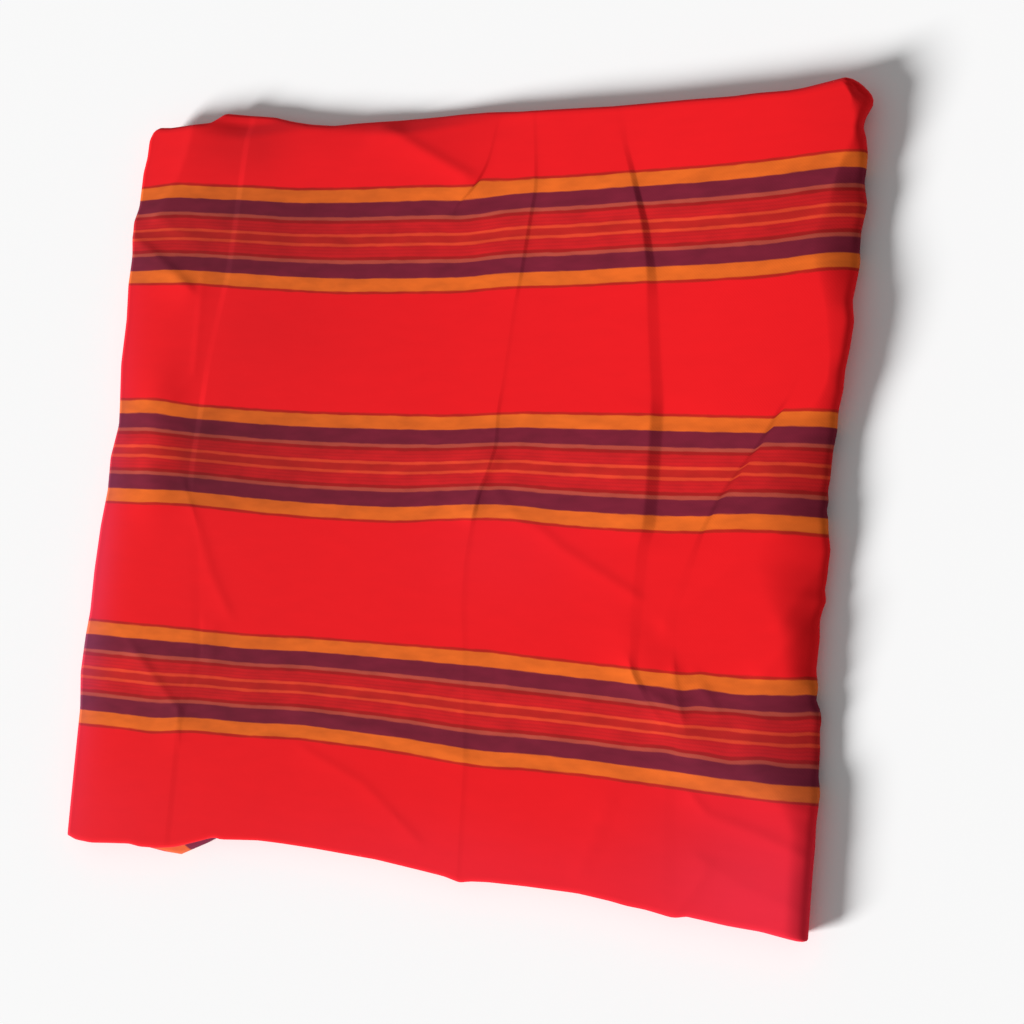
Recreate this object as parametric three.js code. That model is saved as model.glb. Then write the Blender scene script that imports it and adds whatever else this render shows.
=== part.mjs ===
// A woven wrap blanket, folded in thirds across its stripes and then doubled over, lying face up.
// Millimetres, +Z up. X runs along the stripes, Y across them, and the floor is at Z = 0.
// The blanket is one closed sheet. Its back-and-forth section of three layers turns round the
// doubling fold at the right, so there are six layers from the floor to the face.

import * as THREE from 'three';

// The cloth, and the size that it is folded to
const CLOTH_LENGTH = 2000;
const CLOTH_THICKNESS = 1.6;
const LAYER_PITCH = 3.4;
const FOLDED_DEPTH = 690;
const DOUBLING_FOLD_X = 350;
const OPEN_EDGE_X = -350;
const OPEN_END_SETBACK = 9;

// Depths of the layers below the outermost one, and what follows for the stack
const UNDER_DEPTH = 2 * LAYER_PITCH;
const TUCKED_DEPTH = LAYER_PITCH;
const FOLD_RADIUS = 2.5 * LAYER_PITCH;
const STACK_HEIGHT = 2 * FOLD_RADIUS;
const FLOOR_LAYER_Z = CLOTH_THICKNESS / 2;

// Steps of the surface grid. The three layers of the section share their rows, so that they settle
// into the same shape and stay apart.
const FACE_ROWS = 20;
const LEAST_ROW = 5;
const TURN_STEPS = 5;
const DOUBLING_STEPS = 7;
const LOWER_COLUMNS = 7;
const COLUMNS_BETWEEN_CREASES = [5, 6, 3, 7];
const NORMAL_STEP = 1e-3;

const BLANKET_MATERIAL = new THREE.MeshStandardMaterial({
  name: 'red_woven_cloth',
  color: new THREE.Color().setRGB(0.86, 0.12, 0.14, THREE.SRGBColorSpace),
  roughness: 0.9,
  metalness: 0,
});

// Long creases down the panel: where each crosses it, as x at five equal steps from the far fold to
// the near one, how far the face drops to its right there, or rises where the drop is negative, and
// how far away that is felt
const LONG_CREASES = [
  {
    name: 'left',
    crossings: [-240, -247, -262, -241, -243],
    drops: [-0.7, -1.0, -1.2, 0.4, 0.5],
    halfWidth: 4,
    reach: 40,
  },
  {
    name: 'middle',
    crossings: [60, 54, 37, 40, 50],
    drops: [0.4, 0.9, 1.2, 0.5, 0.4],
    halfWidth: 4,
    reach: 30,
  },
  {
    name: 'right',
    crossings: [138, 180, 193, 210, 240],
    drops: [0.3, 1.6, 3.3, 0.9, 0.2],
    halfWidth: 6,
    reach: 55,
  },
];

// Short folds in the face, each a ridge from one end to the other, or a dip where the rise is negative
const SHORT_FOLDS = [
  { name: 'far slack', from: [-250, 343], to: [20, 340], rise: -4.2, halfWidth: 18 },
  { name: 'far diagonal', from: [-92, 331], to: [-4, 286], rise: 1.5, halfWidth: 16 },
  { name: 'left edge ridge', from: [-303, 86], to: [-299, -6], rise: 2.8, halfWidth: 24 },
  { name: 'first band crease', from: [-347, 226], to: [-290, 186], rise: 1.5, halfWidth: 18 },
  { name: 'second band diagonal', from: [304, 80], to: [239, -30], rise: -1.2, halfWidth: 12 },
  { name: 'right edge fold', from: [346, -27], to: [280, -52], rise: 1.0, halfWidth: 16 },
  { name: 'lower edge fold', from: [346, -104], to: [304, -136], rise: 1.4, halfWidth: 14 },
  { name: 'third band wedge', from: [-284, -165], to: [-250, -222], rise: 1.4, halfWidth: 20 },
  { name: 'third band gather', from: [196, -136], to: [254, -213], rise: 1.6, halfWidth: 22 },
  { name: 'near corner ripple', from: [180, -250], to: [330, -318], rise: 1.5, halfWidth: 24 },
];

// The slow swell of the stack along the stripes, as [x, rise]
const SWELL = [[-350, 1.6], [-306, 3.0], [-266, 1.2], [-200, 0.2], [-120, -1.1], [0, -1.6],
  [100, -1.0], [185, -0.6], [300, 0]];

// How far the stack puffs up towards the doubling fold, from its far end to its near one
const DOUBLING_PUFF = { rises: [6.5, 5.9, 4.5, 3.5, 2.0], reach: 170 };

// The shoulder beside the doubling fold: where it starts, as [y, x], and how far it falls, as [y, fall]
const SHOULDER = {
  starts: [[-345, 324], [-290, 318], [-200, 288], [-146, 300], [-110, 310], [-50, 286], [0, 265],
    [62, 290], [100, 330], [251, 329], [345, 335]],
  falls: [[-345, 1.5], [-290, 2.0], [-200, 5.0], [-50, 5.0], [0, 6.5], [62, 6.0], [110, 2.2],
    [170, 3.0], [251, 5.0], [345, 2.5]],
};

// How closely each layer follows the one above it
const LAYER_FOLLOWING = 1.5;

// How far each edge lies outside the plain rectangle, as [place along the edge, distance out]
const FAR_EDGE = {
  upper: [[-350, -6], [-300, -1], [-258, 8], [-195, -2], [-150, -8], [-80, -7], [-35, -4], [130, -4],
    [255, -1], [300, 4], [350, 9]],
  lower: [[-350, -8], [-240, 2], [-100, -9], [130, -7], [350, 4]],
};
const NEAR_EDGE = {
  upper: [[-350, -7], [-300, -4], [-236, -3], [-190, -18], [-127, -23], [-32, -18], [42, -12],
    [108, -13], [187, -11], [248, -6], [350, 1]],
  lower: [[-350, -9], [-270, -4], [-220, -3], [-160, -24], [0, -20], [180, -14], [350, -2]],
};
const RIGHT_EDGE = {
  upper: [[-345, -1], [-230, 1], [-165, -1], [-100, -8], [-40, -4], [10, -9], [72, -5], [185, 3],
    [250, 4], [300, -2], [345, 5]],
  lower: [[-345, -2], [-230, 0], [-90, -8], [60, -6], [185, 1], [295, -2], [345, 1]],
};
const LEFT_EDGE = {
  upper: [[-345, 4], [-250, 5], [-187, 10], [-91, 8], [-27, 2], [55, -2], [120, 3], [245, 7],
    [300, 2], [345, -3]],
  lower: [[-345, 1], [-187, 6], [55, -5], [250, 4], [345, -6]],
};
const EDGE_REACH = 0.28;

const smooth = (value) => {
  const clipped = Math.min(1, Math.max(0, value));
  return clipped * clipped * (3 - 2 * clipped);
};

const bell = (distance, halfWidth) => Math.exp(-((distance / halfWidth) ** 2));

const shareFromFar = (y) => 0.5 - y / FOLDED_DEPTH;

// Runs smoothly through values that are equally spaced from 0 to 1
function alongValues(values, share) {
  const place = Math.min(1, Math.max(0, share)) * (values.length - 1);
  const before = Math.min(values.length - 2, Math.floor(place));
  return THREE.MathUtils.lerp(values[before], values[before + 1], smooth(place - before));
}

// Runs smoothly through [place, distance out] pairs
function alongEdge(points, place) {
  const after = points.findIndex((point) => point[0] > place);
  if (after === 0) return points[0][1];
  if (after < 0) return points[points.length - 1][1];
  const [start, startOut] = points[after - 1];
  const [end, endOut] = points[after];
  return THREE.MathUtils.lerp(startOut, endOut, smooth((place - start) / (end - start)));
}

function shortFoldRise(fold, x, y) {
  const alongX = fold.to[0] - fold.from[0];
  const alongY = fold.to[1] - fold.from[1];
  const length = Math.hypot(alongX, alongY);
  const along = ((x - fold.from[0]) * alongX + (y - fold.from[1]) * alongY) / length;
  const across = ((x - fold.from[0]) * alongY - (y - fold.from[1]) * alongX) / length;
  const past = Math.max(0, -along, along - length);
  return fold.rise * bell(across, fold.halfWidth) * bell(past, 1.5 * fold.halfWidth);
}

function longCreaseRise(crease, x, y) {
  const share = shareFromFar(y);
  const past = x - alongValues(crease.crossings, share);
  const drop = alongValues(crease.drops, share);
  return -0.5 * drop * Math.tanh(past / crease.halfWidth) * bell(past, crease.reach);
}

function shoulderFall(x, y) {
  const start = alongEdge(SHOULDER.starts, y);
  const share = (x - start) / (DOUBLING_FOLD_X - start);
  return alongEdge(SHOULDER.falls, y) * Math.min(1, Math.max(0, share)) ** 1.3;
}

// How far the face stands above its plain height at a place on the panel
function faceRise(x, y) {
  const fromFold = Math.max(0, DOUBLING_FOLD_X - FOLD_RADIUS - x);
  const puff = alongValues(DOUBLING_PUFF.rises, shareFromFar(y)) * bell(fromFold, DOUBLING_PUFF.reach);
  let rise = alongEdge(SWELL, x) + puff - shoulderFall(x, y);
  for (const crease of LONG_CREASES) rise += longCreaseRise(crease, x, y);
  for (const fold of SHORT_FOLDS) rise += shortFoldRise(fold, x, y);
  return rise;
}

// Takes a point of the plain folded stack to its place in the uneven one. The floor layer stays flat.
function settle({ x, y, z }) {
  const height = Math.max(0, (z - FLOOR_LAYER_Z) / STACK_HEIGHT);
  const upper = smooth(height);
  const edgeOut = (edge, place) => THREE.MathUtils.lerp(
    alongEdge(edge.lower, place), alongEdge(edge.upper, place), upper);
  const felt = (distance) => Math.max(0, 1 - distance / EDGE_REACH) ** 2;
  const fromLeft = (x - OPEN_EDGE_X) / (DOUBLING_FOLD_X - OPEN_EDGE_X);
  const fromNear = 0.5 + y / FOLDED_DEPTH;
  return new THREE.Vector3(
    x + edgeOut(RIGHT_EDGE, y) * felt(1 - fromLeft) - edgeOut(LEFT_EDGE, y) * felt(fromLeft),
    y + edgeOut(FAR_EDGE, x) * felt(1 - fromNear) - edgeOut(NEAR_EDGE, x) * felt(fromNear),
    z + faceRise(x, y) * height ** LAYER_FOLLOWING,
  );
}

// The section across the stripes, in the order that the cloth runs: the under layer, the far turn,
// the face, the near turn and the end that is tucked between the two
const FAR_TURN = UNDER_DEPTH / 2;
const NEAR_TURN = TUCKED_DEPTH / 2;
const FAR_START_Y = FOLDED_DEPTH / 2 - FAR_TURN;
const NEAR_START_Y = -FOLDED_DEPTH / 2 + NEAR_TURN;
const UNDER_START_Y = -FOLDED_DEPTH / 2 + OPEN_END_SETBACK;
const UNDER_LENGTH = FAR_START_Y - UNDER_START_Y;
const FACE_LENGTH = FAR_START_Y - NEAR_START_Y;
const TUCKED_LENGTH = CLOTH_LENGTH - UNDER_LENGTH - FACE_LENGTH - Math.PI * (FAR_TURN + NEAR_TURN);

const onUnder = (distance) => ({ y: UNDER_START_Y + distance, depth: UNDER_DEPTH });
const onFace = (distance) => ({ y: FAR_START_Y - distance, depth: 0 });
const onTucked = (distance) => ({ y: NEAR_START_Y + distance, depth: TUCKED_DEPTH });
const onFarTurn = (angle) => ({
  y: FAR_START_Y + FAR_TURN * Math.sin(angle),
  depth: FAR_TURN + FAR_TURN * Math.cos(angle),
});
const onNearTurn = (angle) => ({
  y: NEAR_START_Y - NEAR_TURN * Math.sin(angle),
  depth: NEAR_TURN - NEAR_TURN * Math.cos(angle),
});

// The doubling path along the stripes: the upper half, the fold and the lower half of the outermost
// layer, each with its way out from the stack
const FOLD_CENTRE_X = DOUBLING_FOLD_X - FOLD_RADIUS;
const FOLD_CENTRE_Z = FLOOR_LAYER_Z + FOLD_RADIUS;
const HALF_LENGTH = FOLD_CENTRE_X - OPEN_EDGE_X;

const onUpper = (distance) => ({
  x: OPEN_EDGE_X + distance, z: FOLD_CENTRE_Z + FOLD_RADIUS, outX: 0, outZ: 1,
});
const onLower = (distance) => ({
  x: FOLD_CENTRE_X - distance, z: FLOOR_LAYER_Z, outX: 0, outZ: -1,
});
const onDoubling = (angle) => ({
  x: FOLD_CENTRE_X + FOLD_RADIUS * Math.sin(angle),
  z: FOLD_CENTRE_Z + FOLD_RADIUS * Math.cos(angle),
  outX: Math.sin(angle),
  outZ: Math.cos(angle),
});

const turnStops = (at, steps) => Array.from({ length: steps - 1 }, (_, step) => (
  { at, place: Math.PI * (step + 1) / steps }));

// Stops of a straight stretch of the section: its two ends and the shared rows between them
function straightStops(at, length) {
  const direction = Math.sign(at(1).y - at(0).y);
  const shared = Array.from({ length: FACE_ROWS + 1 }, (_, row) => (
    direction * (FAR_START_Y - FACE_LENGTH * row / FACE_ROWS - at(0).y)));
  const between = shared.filter((place) => place > LEAST_ROW && place < length - LEAST_ROW);
  return [0, ...between.sort((a, b) => a - b), length].map((place) => ({ at, place }));
}

const SECTION_STOPS = [
  ...straightStops(onUnder, UNDER_LENGTH),
  ...turnStops(onFarTurn, TURN_STEPS),
  ...straightStops(onFace, FACE_LENGTH),
  ...turnStops(onNearTurn, TURN_STEPS),
  ...straightStops(onTucked, TUCKED_LENGTH),
];

// Stops across the upper half follow the long creases, with one on either lip of each crease
function upperStops(y) {
  const share = shareFromFar(y);
  const stops = [];
  let from = 0;
  const spread = (to, count) => {
    for (let step = 0; step < count; step += 1) stops.push(from + (to - from) * step / count);
    stops.push(to);
  };
  LONG_CREASES.forEach((crease, index) => {
    const middle = alongValues(crease.crossings, share) - OPEN_EDGE_X;
    spread(middle - crease.halfWidth, COLUMNS_BETWEEN_CREASES[index]);
    from = middle + crease.halfWidth;
  });
  spread(HALF_LENGTH, COLUMNS_BETWEEN_CREASES[LONG_CREASES.length]);
  return stops.map((place) => ({ at: onUpper, place }));
}

const LOWER_STOPS = Array.from({ length: LOWER_COLUMNS + 1 }, (_, column) => (
  { at: onLower, place: HALF_LENGTH * column / LOWER_COLUMNS }));

const doublingStops = (y) => [
  ...upperStops(y),
  ...turnStops(onDoubling, DOUBLING_STEPS),
  ...LOWER_STOPS,
];

// A point in the middle of the cloth's thickness
function clothPoint(doubling, section) {
  return settle({
    x: doubling.x - doubling.outX * section.depth,
    y: section.y,
    z: doubling.z - doubling.outZ * section.depth,
  });
}

// The cloth's way out at a point, from its slopes in both directions
function clothNormal(column, row) {
  const slope = (stop, pointAt) => pointAt(stop.at(stop.place + NORMAL_STEP))
    .sub(pointAt(stop.at(stop.place - NORMAL_STEP)));
  const alongStripes = slope(column, (doubling) => clothPoint(doubling, row.at(row.place)));
  const acrossStripes = slope(row, (section) => clothPoint(column.at(column.place), section));
  return acrossStripes.cross(alongStripes).normalize();
}

// One closed sheet: the face side, the back side a thickness below it, and the four cut edges
function blanketGeometry() {
  const grid = SECTION_STOPS.map((row) => doublingStops(row.at(row.place).y).map((column) => {
    const middle = clothPoint(column.at(column.place), row.at(row.place));
    const halfThickness = clothNormal(column, row).multiplyScalar(CLOTH_THICKNESS / 2);
    return { face: middle.clone().add(halfThickness), back: middle.clone().sub(halfThickness) };
  }));
  const lastRow = grid.length - 1;
  const lastColumn = grid[0].length - 1;
  const positions = [];
  for (const side of ['face', 'back']) {
    for (const corner of grid.flat()) positions.push(...corner[side].toArray());
  }
  const face = (row, column) => row * (lastColumn + 1) + column;
  const back = (row, column) => (lastRow + 1) * (lastColumn + 1) + face(row, column);
  const indices = [];
  const quad = (a, b, c, d) => indices.push(a, b, c, a, c, d);
  for (let row = 0; row < lastRow; row += 1) {
    for (let column = 0; column < lastColumn; column += 1) {
      quad(face(row, column), face(row + 1, column), face(row + 1, column + 1), face(row, column + 1));
      quad(back(row, column), back(row, column + 1), back(row + 1, column + 1), back(row + 1, column));
    }
    quad(face(row + 1, 0), face(row, 0), back(row, 0), back(row + 1, 0));
    quad(face(row, lastColumn), face(row + 1, lastColumn), back(row + 1, lastColumn), back(row, lastColumn));
  }
  for (let column = 0; column < lastColumn; column += 1) {
    quad(face(0, column), face(0, column + 1), back(0, column + 1), back(0, column));
    quad(face(lastRow, column + 1), face(lastRow, column), back(lastRow, column), back(lastRow, column + 1));
  }
  const geometry = new THREE.BufferGeometry();
  geometry.setAttribute('position', new THREE.Float32BufferAttribute(positions, 3));
  geometry.setIndex(indices);
  geometry.computeVertexNormals();
  return geometry;
}

const blanket = new THREE.Mesh(blanketGeometry(), BLANKET_MATERIAL);
blanket.name = 'blanket';

// The origin is on the floor, under the middle of the blanket
blanket.geometry.computeBoundingBox();
const middle = blanket.geometry.boundingBox.getCenter(new THREE.Vector3());
blanket.position.set(-middle.x, -middle.y, 0);

const group = new THREE.Group();
group.add(blanket);

export default group;
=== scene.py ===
import math

import bpy
import numpy as np
from mathutils import Matrix, Vector


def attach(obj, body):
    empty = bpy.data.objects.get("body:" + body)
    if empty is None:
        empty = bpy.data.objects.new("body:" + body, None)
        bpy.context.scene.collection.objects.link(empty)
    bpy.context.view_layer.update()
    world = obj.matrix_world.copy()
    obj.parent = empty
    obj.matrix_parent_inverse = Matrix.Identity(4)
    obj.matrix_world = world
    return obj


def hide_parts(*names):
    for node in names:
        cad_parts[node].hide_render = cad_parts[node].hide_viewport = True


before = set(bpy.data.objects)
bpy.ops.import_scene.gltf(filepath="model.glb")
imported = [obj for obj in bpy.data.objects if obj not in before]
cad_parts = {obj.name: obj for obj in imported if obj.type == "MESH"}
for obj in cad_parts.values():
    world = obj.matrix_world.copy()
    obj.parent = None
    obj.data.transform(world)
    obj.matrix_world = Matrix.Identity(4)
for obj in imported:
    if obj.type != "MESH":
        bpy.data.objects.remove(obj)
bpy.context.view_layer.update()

# A woven wrap blanket, folded in thirds across its stripes and then doubled over, lying face up.
# Sizes are in millimetres until a mesh is made. X runs along the stripes and Y across them, from the
# middle of the folded rectangle, with the floor at Z = 0.

MM = 0.001

# The cloth. It thickens at its hems and selvedges over a short step.

CLOTH_LENGTH = 2000
CLOTH_THICKNESS = 1.6
HEM_THICKNESS = 2.4
HEM_DEPTH = 14
SELVEDGE_THICKNESS = 1.9
SELVEDGE_WIDTH = 4
THICKENING_STEP = 2

# The size that it is folded to

LAYER_PITCH = 3.4
FOLDED_DEPTH = 690
DOUBLING_FOLD_X = 350
OPEN_EDGE_X = -350
OPEN_END_SETBACK = 9

# The uneven stack isn't quite centred on its plain rectangle, so it stands a little aside, as the
# source's solid does
STACK_SHIFT = np.array([2.86, -3.75, 0])

# Depths below the outermost layer, and the heights of the doubled stack

UNDER_DEPTH = 2 * LAYER_PITCH
TUCKED_DEPTH = LAYER_PITCH
FOLD_RADIUS = 2.5 * LAYER_PITCH
STACK_HEIGHT = 2 * FOLD_RADIUS
FLOOR_LAYER_Z = CLOTH_THICKNESS / 2

# A lower layer follows the folds and the creases of the face by these powers of its share of the height

FOLD_FOLLOWING = 1.2
CREASE_FOLLOWING = 6

# Lengths along the section, in the order that the cloth runs: the under layer, the far turn, the face,
# the near turn and the end that is tucked between the two

FAR_TURN = UNDER_DEPTH / 2
NEAR_TURN = TUCKED_DEPTH / 2
FAR_START_Y = FOLDED_DEPTH / 2 - FAR_TURN
NEAR_START_Y = -FOLDED_DEPTH / 2 + NEAR_TURN
UNDER_START_Y = -FOLDED_DEPTH / 2 + OPEN_END_SETBACK
UNDER_END = FAR_START_Y - UNDER_START_Y
FACE_START = UNDER_END + math.pi * FAR_TURN
FACE_END = FACE_START + FAR_START_Y - NEAR_START_Y
TUCKED_START = FACE_END + math.pi * NEAR_TURN

# Lengths along the doubling path, from the open edges of the upper half to those of the lower half

FOLD_CENTRE_X = DOUBLING_FOLD_X - FOLD_RADIUS
FOLD_CENTRE_Z = FLOOR_LAYER_Z + FOLD_RADIUS
HALF_LENGTH = FOLD_CENTRE_X - OPEN_EDGE_X
LOWER_START = HALF_LENGTH + math.pi * FOLD_RADIUS
PATH_LENGTH = LOWER_START + HALF_LENGTH

# The cloth was folded a little askew, so its selvedges draw back by different amounts: [length along
# the section, draw of the upper half's edge, draw of the lower half's edge]

SELVEDGE_DRAW = [[0, 6.0, 2.0], [340, 2.5, 4.5], [UNDER_END, 1.0, 3.0], [FACE_START, 0.0, 1.5],
                 [FACE_END, 0.0, 0.5], [TUCKED_START, 0.5, 0.5], [1700, 3.5, 4.0], [2000, 7.0, 6.0]]

# How far each edge lies outside the plain rectangle: [place along the edge, distance out]. Upper is the
# face, lower the layer on the floor, and inner the layers that turn inside the doubling fold.

FAR_EDGE = {
    "upper": [[-350, -8], [-346, -2], [-330, -3], [-297, -0.5], [-285, 0.5], [-270, 10], [-243, 7],
              [-214, 4], [-194, -1.5], [-175, -5.5], [-150, -8], [-125, -6], [-98, -5], [-60, -3.5],
              [-20, -2], [10, -2], [40, -3.5], [130, -4], [200, -2.3], [240, -2], [262, -0.5],
              [293, 0], [307, 1.5], [328, 5.5], [346, 9], [350, 8.5]],
    "lower": [[-350, -8], [-240, 2], [-100, -9], [130, -7], [350, 4]],
}
NEAR_EDGE = {
    "upper": [[-350, -6], [-342, -2.5], [-325, -1.5], [-306, -3.5], [-284, -5.5], [-273, -4],
              [-254, -5], [-236, -8], [-214, -15], [-198, -20.5], [-195, -21], [-190, -19.5],
              [-151, -23], [-127, -23], [-94, -22.3], [-32, -19.7], [13, -15.3], [35, -13],
              [50, -9.5], [58, -11.5], [75, -13], [110, -13.8], [157, -13.8], [187, -11],
              [200, -9], [217, -8], [240, -4.5], [245, -5], [252, -7], [264, -6], [287, -4],
              [315, -3], [346, 1]],
    "lower": [[-350, -9], [-306, -5], [-270, -3], [-242, 0.8], [-236, -1], [-230, -4.6],
              [-219, -10], [-209, -15], [-199, -21.5], [-186, -26], [-174, -28.5],
              [-100, -27], [0, -21], [180, -14], [350, -2]],
}
RIGHT_EDGE = {
    "upper": [[-345, 2], [-300, 2], [-272, 2.5], [-255, 2], [-230, 3.3], [-218, 0.5], [-196, 0],
              [-181, -1.4], [-173, -0.2], [-165, -1.8], [-157, -6], [-149, -4.4], [-141, -5.6],
              [-134, -7.2], [-110, -6], [-94, -7.2], [-86, -5.8], [-77, -3], [-70, -5.2],
              [-61, -4], [-45, -3.2], [-37, -2.4], [-21, -5.2], [-13, -5.6], [-5, -7.8],
              [3, -6.5], [11, -8], [19, -6.8], [44, -6], [60, -3.6], [76, -3.4], [85, -1.8],
              [93, -0.2], [109, 0.3], [126, 2.9], [150, 5], [167, 2.3], [184, 4.2], [200, 5.8],
              [208, 4.5], [225, 4.8], [246, 8.4], [255, 6.2], [264, 4.6], [272, 5.6], [286, 6.4],
              [298, 4.5], [307, 1.3], [318, 4], [326, 8.5], [331, 7.5], [338, 1], [345, -9]],
    "inner": [[-345, -1], [-240, -1], [-190, -4], [-150, -9], [-100, -10], [-40, -8], [0, -11],
              [50, -8.5], [90, -4.5], [150, 0.5], [230, 2], [280, 1.5], [305, -2], [325, -6], [345, -14]],
}
LEFT_EDGE = {
    "upper": [[-345, 3.5], [-298, 4], [-262, 4.5], [-221, 5], [-188, 9], [-153, 8], [-130, 6],
              [-91, 6.5], [-48, 5], [-13, 1.5], [18, 2.5], [35, -0.5], [50, -3], [68, -1.5],
              [108, 2.5], [152, 2], [187, 4.5], [216, 3], [250, 6], [266, 1.5], [301, 1.5],
              [318, -1], [336, -1], [345, -5]],
    "lower": [[-345, 1], [-187, 6], [55, -5], [250, 4], [345, -6]],
}

# An uneven edge is felt this far into the stack, as a share of the way across
EDGE_REACH = 0.28

# The lower half is tucked in below the doubling fold, where the inner layers lean less, by this share
FOLD_UNDERCUT = 7
INNER_LEAN = 0.5

# Long creases down the panel, from left to right, as [y, x, ridge, drop, half width of the ramp]: the
# face drops to the right over the ramp, and has a sharp ridge along the ramp's upper lip

LEFT_CREASE = [
    [345, -238, 0.0, -0.4, 3], [250, -241, 0.0, -0.9, 3], [200, -243, 0.0, -0.8, 3],
    [150, -250, 0.0, -0.3, 3], [110, -255, 0.0, -0.3, 3], [70, -257, 0.0, -0.9, 3],
    [15, -260, 0.0, -0.9, 3], [-14, -259, 0.1, -0.3, 3], [-60, -250, 0.0, 0.2, 5],
    [-145, -236, 0.0, 0.3, 5], [-160, -232, 0.1, 0.3, 4], [-230, -244, 0.1, 0.25, 3],
    [-345, -243, 0.05, 0.2, 3],
]
KINK_CREASE = [
    [345, 22, 0.0, 0.0, 1.5], [300, 16, 0.1, 0.2, 1.5], [290, 13, 0.2, 0.4, 1.5],
    [273, 4, 0.4, 0.9, 1.5], [264, -4, 0.4, 0.9, 1.5], [258, -13, 0.0, 0.2, 1.5],
    [240, -15, 0.0, 0.0, 1.5], [-345, -15, 0.0, 0.0, 1.5],
]
MIDDLE_CREASE = [
    [345, 55, 0.0, 0.1, 2], [300, 61, 0.1, 0.15, 1.7], [270, 64, 0.4, 0.3, 1.7],
    [240, 61, 0.5, 0.5, 1.7], [190, 57, 0.4, 0.35, 1.7], [165, 54, 0.1, 0.1, 2],
    [100, 50, 0.1, 0.1, 2], [70, 47, 0.3, 0.25, 1.7], [40, 48, 0.3, 0.3, 1.7],
    [15, 42.5, 0.3, 0.6, 1.6], [8, 39.5, 0.3, 0.6, 1.6], [0, 35.5, 0.3, 0.5, 1.6],
    [-25, 33, 0.15, 0.15, 2], [-60, 30, 0.15, 0.1, 3], [-100, 31, 0.1, 0.1, 3],
    [-150, 38, 0.1, 0.1, 3], [-230, 46, 0.15, 0.1, 2.5], [-345, 50, 0.1, 0.05, 2.5],
]
RIGHT_CREASE = [
    [345, 134, 0.0, 0.0, 4], [305, 145, 0.0, 0.3, 2.5], [280, 154, 0.1, 1.0, 2.5],
    [258, 161, 0.2, 1.6, 2.5], [235, 169, 0.3, 1.8, 3], [205, 176, 0.3, 1.9, 3.5],
    [190, 179, 0.2, 1.8, 4], [165, 182, 0.1, 1.0, 5], [112, 189, 0.1, 1.2, 5],
    [85, 193, 0.1, 1.5, 5.2], [70, 194, 0.2, 2.6, 5.2], [15, 195, 0.2, 2.8, 5.2],
    [-26, 195, 0.2, 2.4, 5.2], [-42, 191, 0.1, 0.6, 5], [-100, 190, 0.0, 0.3, 5],
    [-145, 192, 0.1, 0.6, 3], [-165, 204, 0.1, 0.4, 3], [-190, 227, 0.0, 0.2, 4],
    [-345, 240, 0.0, 0.1, 6],
]
SLANTED_CREASE = [
    [345, 324, 0.0, 0.0, 3], [110, 318, 0.0, 0.0, 3], [84, 306, 0.0, 0.1, 1.8],
    [74, 299, 0.1, 0.7, 1.8], [59, 292, 0.1, 0.8, 1.8], [45, 284, 0.1, 0.8, 1.8],
    [31, 274, 0.1, 0.8, 1.8], [3, 255, 0.1, 0.8, 1.8], [-28, 241, 0.0, 0.6, 2],
    [-60, 232, 0.0, 0.2, 4], [-100, 220, 0.0, 0.2, 5], [-150, 225, 0.0, 0.0, 5],
    [-190, 252, 0.0, 0.0, 5], [-345, 276, 0.0, 0.0, 5],
]
LONG_CREASES = {
    "left": LEFT_CREASE,
    "kink": KINK_CREASE,
    "middle": MIDDLE_CREASE,
    "right": RIGHT_CREASE,
    "slanted": SLANTED_CREASE,
}

# How far to each side the drop is felt, and how wide the ridges are on their left and right. The lips
# of the ramps, in half widths of a ramp, and the tops of the creases are a little rounded.

CREASE_REACHES = {"left": 40, "kink": 12, "middle": 30, "right": 55, "slanted": 30}
RIDGE_WIDTHS = (12.0, 2.4)
RAMP_ROUNDING = 0.03
CREASE_ROUNDING = 1.0

# Broad folds and dips, which the lower layers follow: [from x, y, to x, y, rise, half width]. A fold
# fades past its ends over a share of its half width, and a fine crease over a few millimetres.

BROAD_FOLDS = [
    [-250, 343, 20, 340, -1.5, 22],
    [-92, 331, -4, 286, 0.5, 16],
    [-347, 226, -290, 186, 1.0, 18],
    [-303, 68, -300, 2, 2.5, 24],
    [346, -104, 304, -136, 1.2, 14],
    [-284, -165, -250, -222, 0.5, 20],
    [196, -136, 254, -213, 1.4, 22],
    [180, -250, 330, -318, 0.3, 24],
]
FOLD_END_FADE = 1.5
CREASE_END_FADE = 10

# Slow swell of the stack along the stripes, as [x, rise]

SWELL = [[-350, 1.6], [-306, 2.0], [-266, 1.4], [-200, 0.2], [-120, -1.1], [0, -1.6], [100, -1.0],
         [185, -0.6], [300, 0.0], [350, 0.0]]

# How far the stack puffs up towards the doubling fold, as [y, rise]

DOUBLING_PUFF = [[345, 6.5], [250, 6.5], [120, 5.5], [0, 4.5], [-170, 3.5], [-345, 2.0]]
PUFF_REACH = 170

# How square the doubling fold is pressed: 2 is a round turn, and more is squarer

PRESSED_OUTER = 3.2
PRESSED_INNER = 2.0

# Where the face starts to fall towards the doubling fold, how far it falls, and how it starts:
# [y, start x, fall, roundness], where 1 is a plain facet and 2 a round shoulder

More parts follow.
